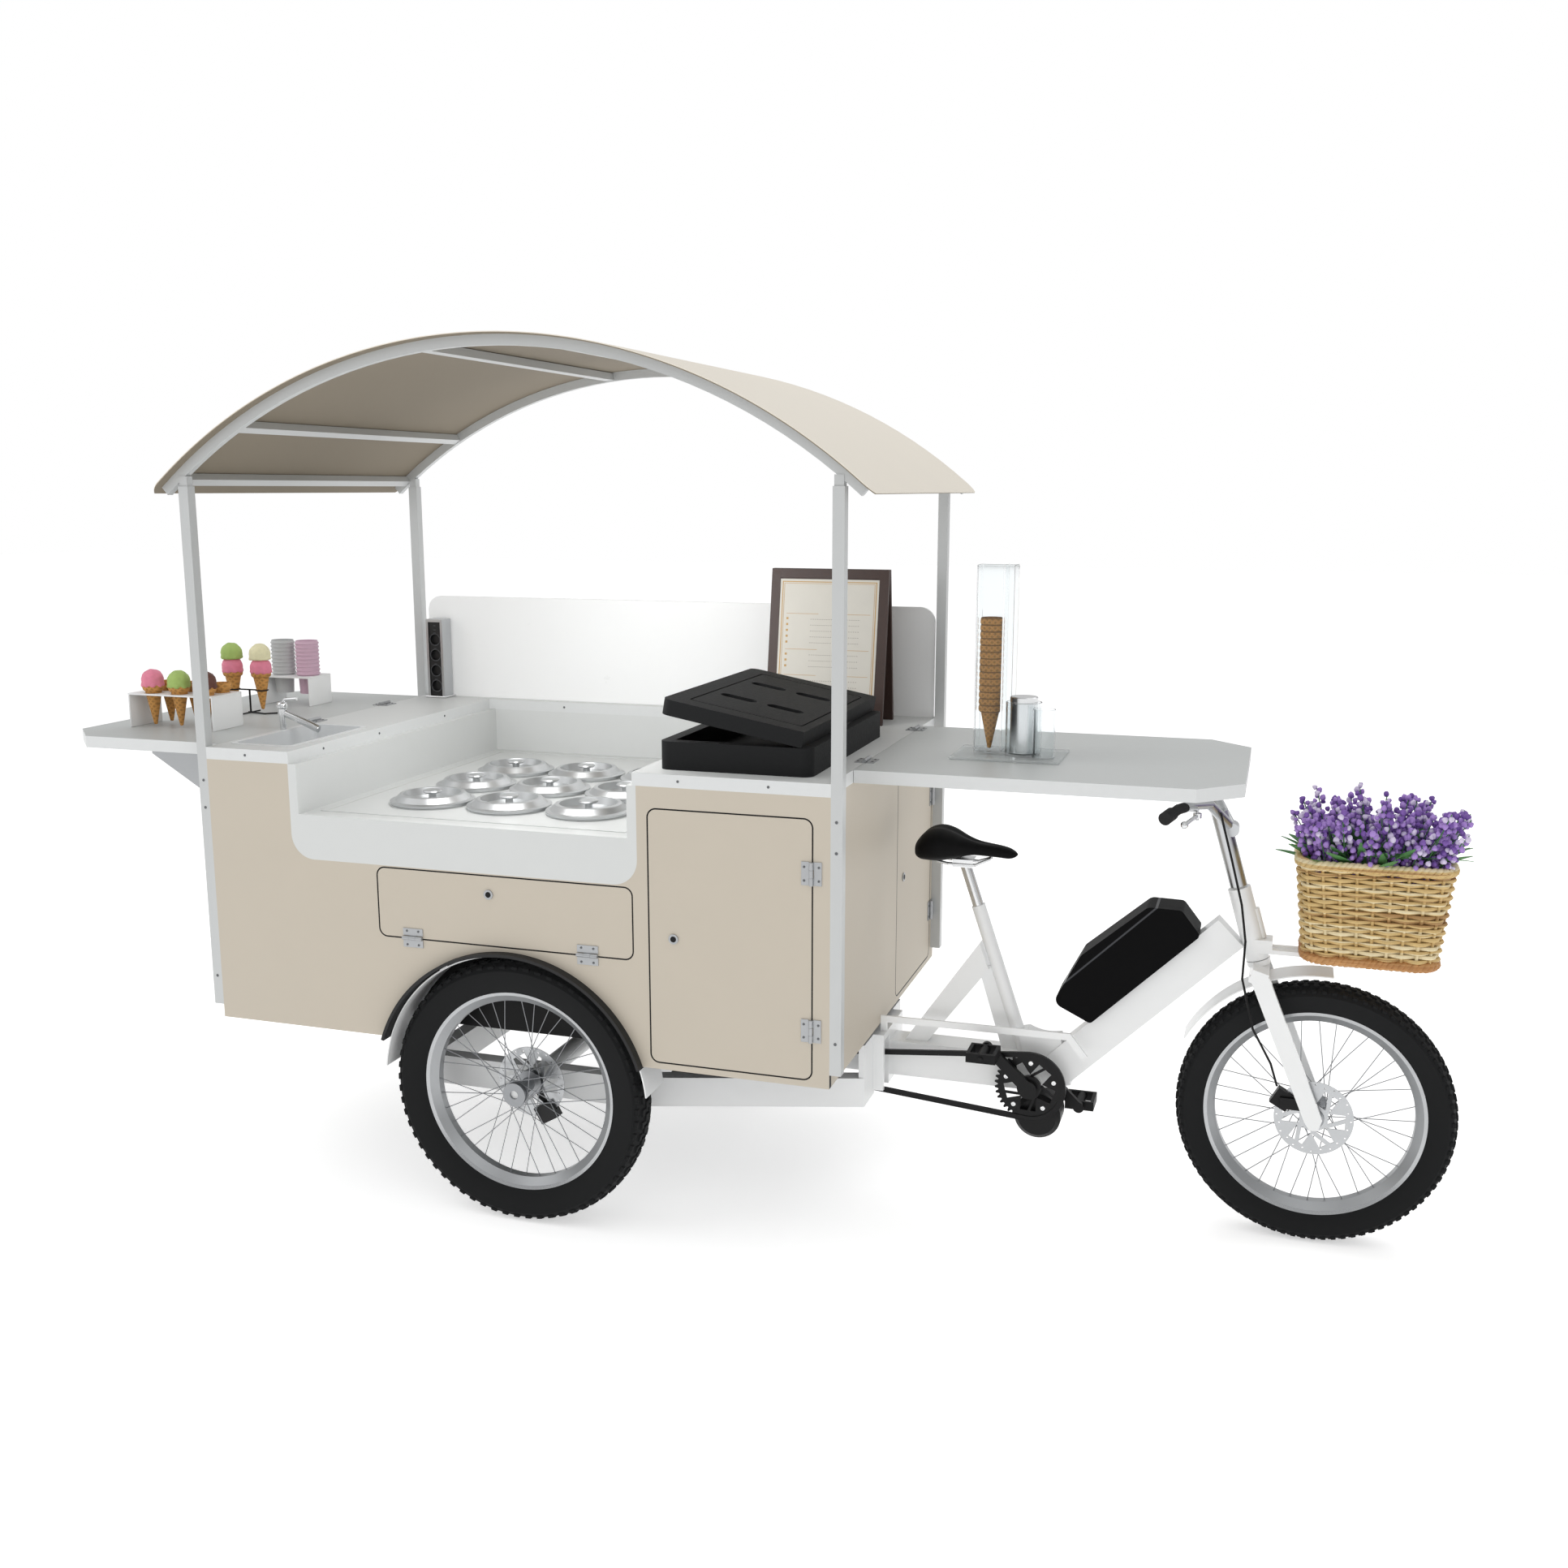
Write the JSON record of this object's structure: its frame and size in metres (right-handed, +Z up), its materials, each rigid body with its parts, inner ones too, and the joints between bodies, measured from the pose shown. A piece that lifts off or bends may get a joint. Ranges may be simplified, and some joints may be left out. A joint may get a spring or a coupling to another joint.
{
  "type": "ice cream tricycle",
  "caption": "Ice cream vending tricycle: arched canopy, tub well with round lids, fold-up flaps, cupboard doors and an electric bicycle front with a flower basket.",
  "frame": {"origin": "on the ground, under the middle of the whole tricycle", "axes": "+X forward to the steered wheel, +Y to the rider's left, +Z up"},
  "size_m": [3.268, 1.044, 1.981],
  "materials": {
    "white_paint": "satin",
    "beige_panel": "matt",
    "counter_board": "satin",
    "white_plastic": "satin",
    "stainless": "brushed",
    "grey_tube": "satin",
    "canopy_skin": "matt",
    "black_plastic": "matt",
    "black_metal": "satin",
    "foam_black": "grained",
    "tyre_rubber": "matt",
    "alloy": "polished",
    "dark_wood": "satin",
    "wicker": "woven",
    "lavender": "soft",
    "saddle_cover": "satin",
    "goods": "mixed",
    "clear_plastic": "clear",
    "equipment": "matt"
  },
  "bodies": {
    "cart": {"chassis": "white_paint", "floor_tray": "black_plastic", "right_panel": "beige_panel", "left_panel": "beige_panel", "end_panels": "beige_panel", "mudguards": "white_plastic", "post_sleeves": "grey_tube", "counter_top": "counter_board", "well_liner": "white_plastic", "tub_rack": "white_plastic", "sink_bowl": "stainless", "back_splash": "white_plastic", "menu_board": "dark_wood", "case_base": "foam_black", "hinge_leaves": "stainless", "bike_frame": "white_paint", "motor": "black_metal", "chain": "black_metal", "basket": "wicker", "flowers": "lavender", "inner_equipment": "equipment"},
    "canopy": {"canopy_sheet": "canopy_skin", "canopy_frame": "grey_tube"},
    "front_flap_body": {"front_flap": "counter_board", "cone_dispenser": "clear_plastic"},
    "rear_flap_body": {"rear_flap": "counter_board", "display_goods": "goods"},
    "drop_door_body": {"drop_door": "beige_panel"},
    "tall_door_body": {"tall_door": "beige_panel"},
    "front_door_body": {"front_door": "beige_panel"},
    "tap_body": {"tap": "stainless"},
    "case_lid_body": {"case_lid": "foam_black"},
    "tower_body": {"socket_tower": "grey_tube"},
    "right_wheel": {"rear_wheel_right": "alloy", "rear_tyre_right": "tyre_rubber"},
    "left_wheel": {"rear_wheel_left": "alloy", "rear_tyre_left": "tyre_rubber"},
    "steering": {"fork": "white_paint", "handlebar": "alloy", "front_brake": "black_metal"},
    "front_wheel_body": {"front_wheel": "alloy", "front_tyre": "tyre_rubber"},
    "crank": {"crank_set": "black_metal"},
    "right_pedal": {"pedal_right": "black_plastic"},
    "left_pedal": {"pedal_left": "black_plastic"},
    "jack_sprocket": {"sprocket": "stainless"},
    "seat": {"seatpost": "alloy", "saddle": "saddle_cover"},
    "battery_body": {"battery": "black_plastic"},
    "right_lever": {"brake_lever_right": "alloy"},
    "left_lever": {"brake_lever_left": "alloy"},
    "lid_1_body": {"lid_1": "stainless"},
    "lid_2_body": {"lid_2": "stainless"},
    "lid_3_body": {"lid_3": "stainless"},
    "lid_4_body": {"lid_4": "stainless"},
    "lid_5_body": {"lid_5": "stainless"},
    "lid_6_body": {"lid_6": "stainless"},
    "lid_7_body": {"lid_7": "stainless"},
    "lid_8_body": {"lid_8": "stainless"},
    "lid_9_body": {"lid_9": "stainless"}
  },
  "joints": [
    {"name": "canopy_lift", "type": "slide", "parent": "cart", "child": "canopy", "axis": [0, 0, 1], "range_m": [0, 0.3]},
    {"name": "front_flap_fold", "type": "hinge", "parent": "cart", "child": "front_flap_body", "pos_m": [0.354, 0, 1.0785], "axis": [0, -1, 0], "range_deg": [0, 70]},
    {"name": "rear_flap_fold", "type": "hinge", "parent": "cart", "child": "rear_flap_body", "pos_m": [-1.156, 0, 1.0785], "axis": [0, 1, 0], "range_deg": [0, 90]},
    {"name": "drop_door_hinge", "type": "hinge", "parent": "cart", "child": "drop_door_body", "pos_m": [-0.402, -0.5045, 0.662], "axis": [1, 0, 0], "range_deg": [0, 90]},
    {"name": "tall_door_hinge", "type": "hinge", "parent": "cart", "child": "tall_door_body", "pos_m": [0.314, -0.5045, 0.7165], "axis": [0, 0, 1], "range_deg": [0, 110]},
    {"name": "front_door_hinge", "type": "hinge", "parent": "cart", "child": "front_door_body", "pos_m": [0.3585, 0.452, 0.7165], "axis": [0, 0, 1], "range_deg": [0, 90]},
    {"name": "tap_swivel", "type": "hinge", "parent": "cart", "child": "tap_body", "pos_m": [-1.1455, -0.218, 1.08], "axis": [0, 0, 1], "range_deg": [-40, 40]},
    {"name": "case_lid_hinge", "type": "hinge", "parent": "cart", "child": "case_lid_body", "pos_m": [0.275, -0.15, 1.1355], "axis": [0, 1, 0], "range_deg": [-10.5, 8]},
    {"name": "socket_tower_rise", "type": "slide", "parent": "cart", "child": "tower_body", "axis": [0, 0, 1], "range_m": [-0.2, 0]},
    {"name": "lid_1_lift", "type": "slide", "parent": "cart", "child": "lid_1_body", "axis": [0, 0, 1], "range_m": [0, 0.12]},
    {"name": "lid_2_lift", "type": "slide", "parent": "cart", "child": "lid_2_body", "axis": [0, 0, 1], "range_m": [0, 0.12]},
    {"name": "lid_3_lift", "type": "slide", "parent": "cart", "child": "lid_3_body", "axis": [0, 0, 1], "range_m": [0, 0.12]},
    {"name": "lid_4_lift", "type": "slide", "parent": "cart", "child": "lid_4_body", "axis": [0, 0, 1], "range_m": [0, 0.12]},
    {"name": "lid_5_lift", "type": "slide", "parent": "cart", "child": "lid_5_body", "axis": [0, 0, 1], "range_m": [0, 0.12]},
    {"name": "lid_6_lift", "type": "slide", "parent": "cart", "child": "lid_6_body", "axis": [0, 0, 1], "range_m": [0, 0.12]},
    {"name": "lid_7_lift", "type": "slide", "parent": "cart", "child": "lid_7_body", "axis": [0, 0, 1], "range_m": [0, 0.12]},
    {"name": "lid_8_lift", "type": "slide", "parent": "cart", "child": "lid_8_body", "axis": [0, 0, 1], "range_m": [0, 0.12]},
    {"name": "lid_9_lift", "type": "slide", "parent": "cart", "child": "lid_9_body", "axis": [0, 0, 1], "range_m": [0, 0.12]},
    {"name": "right_wheel_spin", "type": "hinge", "parent": "cart", "child": "right_wheel", "pos_m": [-0.392, -0.448, 0.311], "axis": [0, 1, 0], "continuous": true},
    {"name": "left_wheel_spin", "type": "hinge", "parent": "cart", "child": "left_wheel", "pos_m": [-0.392, 0.448, 0.311], "axis": [0, 1, 0], "continuous": true},
    {"name": "steer", "type": "hinge", "parent": "cart", "child": "steering", "pos_m": [1.197, 0, 0.64], "axis": [-0.2874, 0, 0.9578], "range_deg": [-25, 25]},
    {"name": "front_wheel_spin", "type": "hinge", "parent": "steering", "child": "front_wheel_body", "pos_m": [1.335, 0, 0.299], "axis": [0, 1, 0], "continuous": true},
    {"name": "crank_turn", "type": "hinge", "parent": "cart", "child": "crank", "pos_m": [0.71, 0, 0.301], "axis": [0, 1, 0], "continuous": true},
    {"name": "right_pedal_turn", "type": "hinge", "parent": "crank", "child": "right_pedal", "pos_m": [0.61089, -0.11, 0.39118], "axis": [0, 1, 0], "continuous": true},
    {"name": "left_pedal_turn", "type": "hinge", "parent": "crank", "child": "left_pedal", "pos_m": [0.80911, 0.11, 0.21082], "axis": [0, 1, 0], "continuous": true},
    {"name": "sprocket_turn", "type": "hinge", "parent": "cart", "child": "jack_sprocket", "pos_m": [0.211, -0.06, 0.299], "axis": [0, 1, 0], "continuous": true},
    {"name": "seat_height", "type": "slide", "parent": "cart", "child": "seat", "axis": [-0.3249, 0, 0.9457], "range_m": [0, 0.1]},
    {"name": "battery_release", "type": "slide", "parent": "cart", "child": "battery_body", "axis": [-0.6991, 0, 0.7151], "range_m": [0, 0.1]},
    {"name": "right_lever_pull", "type": "hinge", "parent": "steering", "child": "right_lever", "pos_m": [1.06, -0.168, 0.988], "axis": [0, 0, -1], "range_deg": [0, 10], "stiffness_Nm_per_rad": 2},
    {"name": "left_lever_pull", "type": "hinge", "parent": "steering", "child": "left_lever", "pos_m": [1.06, 0.168, 0.988], "axis": [0, 0, 1], "range_deg": [0, 10], "stiffness_Nm_per_rad": 2}
  ],
  "couplings": [
    {"joint": "sprocket_turn", "follows": "crank_turn", "ratio": 2.375}
  ]
}
